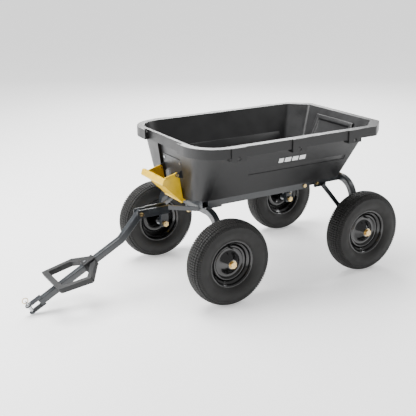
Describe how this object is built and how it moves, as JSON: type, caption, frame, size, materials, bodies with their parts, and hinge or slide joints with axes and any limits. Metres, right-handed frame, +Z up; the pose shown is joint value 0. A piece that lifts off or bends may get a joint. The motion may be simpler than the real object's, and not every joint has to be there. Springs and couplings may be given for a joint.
{
  "type": "tow behind cart",
  "caption": "Four-wheel garden dump cart: tipping plastic tub on a tube-steel chassis with a steered front axle, pull handle and tow hitch tongue.",
  "frame": {"origin": "on the ground, under the centre of the whole cart's box", "axes": "+X forward to the hitch, +Y to the cart's left, +Z up"},
  "size_m": [1.8472, 0.829, 0.7319],
  "materials": {
    "tub_plastic": "rotomoulded charcoal polyethylene, fine grain",
    "frame_steel": "slate grey powder coat",
    "latch_steel": "grey powder coat",
    "rim_enamel": "gloss black enamel",
    "tyre_rubber": "moulded black rubber with block tread",
    "valve_rubber": "moulded black rubber",
    "handle_yellow": "moulded signal yellow nylon",
    "grip_plastic": "soft mid-grey moulding",
    "yellow_zinc": "yellow zinc plate",
    "bright_zinc": "bright zinc plate",
    "bearing_steel": "pressed bearing steel"
  },
  "bodies": {
    "chassis": {"front_rail_left": "frame_steel", "front_rail_right": "frame_steel", "rear_rail_left": "frame_steel", "rear_rail_right": "frame_steel", "front_crossmember": "frame_steel", "steering_bolster": "frame_steel", "rear_arch": "frame_steel", "rear_leg_plates": "frame_steel", "rear_brace_left": "frame_steel", "rear_brace_right": "frame_steel", "brace_brackets": "frame_steel", "brace_bolts": "yellow_zinc", "rail_lap_bolts": "yellow_zinc", "rear_axle_bolts": "yellow_zinc", "rear_axle_nuts": "yellow_zinc", "rear_axle_washers": "yellow_zinc", "rear_axle_spacers": "frame_steel", "kingpin": "yellow_zinc", "kingpin_nut": "yellow_zinc", "turntable_washer": "bright_zinc", "tub_pivot_lugs": "frame_steel", "tub_pivot_bolts": "yellow_zinc"},
    "front_axle": {"front_arch": "frame_steel", "front_leg_plates": "frame_steel", "turntable_plate": "frame_steel", "tongue_yoke": "frame_steel", "tongue_pivot_bolt": "yellow_zinc", "front_axle_bolts": "yellow_zinc", "front_axle_nuts": "yellow_zinc", "front_axle_washers": "yellow_zinc", "front_axle_spacers": "frame_steel"},
    "tongue": {"tongue_tube": "frame_steel", "pull_handle": "grip_plastic", "pull_handle_screw": "bright_zinc", "hitch_tines": "frame_steel"},
    "hitch_pin": {"hitch_pin": "bright_zinc"},
    "pin_ring": {"hitch_pin_ring": "yellow_zinc"},
    "tub": {"tub": "tub_plastic", "tub_pivot_straps": "frame_steel", "latch_plate": "latch_steel", "latch_screws": "bright_zinc", "dump_handle_pins": "yellow_zinc", "dump_handle_spring": "bright_zinc"},
    "dump_handle": {"dump_handle": "handle_yellow"},
    "wheel_front_left": {"tyre_front_left": "tyre_rubber", "rim_front_left": "rim_enamel", "bearings_front_left": "bearing_steel", "valve_stem_front_left": "valve_rubber"},
    "wheel_front_right": {"tyre_front_right": "tyre_rubber", "rim_front_right": "rim_enamel", "bearings_front_right": "bearing_steel", "valve_stem_front_right": "valve_rubber"},
    "wheel_rear_left": {"tyre_rear_left": "tyre_rubber", "rim_rear_left": "rim_enamel", "bearings_rear_left": "bearing_steel", "valve_stem_rear_left": "valve_rubber"},
    "wheel_rear_right": {"tyre_rear_right": "tyre_rubber", "rim_rear_right": "rim_enamel", "bearings_rear_right": "bearing_steel", "valve_stem_rear_right": "valve_rubber"}
  },
  "joints": [
    {"name": "spin_front_left", "type": "hinge", "parent": "front_axle", "child": "wheel_front_left", "pos_m": [0.07142, 0.36, 0.203], "axis": [0, 1, 0], "continuous": true},
    {"name": "spin_front_right", "type": "hinge", "parent": "front_axle", "child": "wheel_front_right", "pos_m": [0.07142, -0.36, 0.203], "axis": [0, 1, 0], "continuous": true},
    {"name": "spin_rear_left", "type": "hinge", "parent": "chassis", "child": "wheel_rear_left", "pos_m": [-0.72058, 0.36, 0.203], "axis": [0, 1, 0], "continuous": true},
    {"name": "spin_rear_right", "type": "hinge", "parent": "chassis", "child": "wheel_rear_right", "pos_m": [-0.72058, -0.36, 0.203], "axis": [0, 1, 0], "continuous": true},
    {"name": "steer", "type": "hinge", "parent": "chassis", "child": "front_axle", "pos_m": [0.07142, 0, 0.412], "axis": [0, 0, 1], "range_deg": [-40, 40]},
    {"name": "tongue_lift", "type": "hinge", "parent": "front_axle", "child": "tongue", "pos_m": [0.33542, 0, 0.381], "axis": [0, -1, 0], "range_deg": [0, 100]},
    {"name": "hitch_pin_pull", "type": "slide", "parent": "tongue", "child": "hitch_pin", "axis": [0.4695, 0, 0.8829], "range_m": [0, 0.075]},
    {"name": "pin_ring_swing", "type": "hinge", "parent": "hitch_pin", "child": "pin_ring", "pos_m": [0.90227, 0, 0.06194], "axis": [0.8829, 0, -0.4695], "range_deg": [-60, 60]},
    {"name": "tub_dump", "type": "hinge", "parent": "chassis", "child": "tub", "pos_m": [-0.75458, 0, 0.47], "axis": [0, -1, 0], "range_deg": [0, 85]},
    {"name": "dump_handle_lift", "type": "hinge", "parent": "tub", "child": "dump_handle", "pos_m": [0.17842, 0, 0.562], "axis": [0, -1, 0], "range_deg": [0, 28], "stiffness_Nm_per_rad": 0.9, "springref_deg": -34.38}
  ]
}
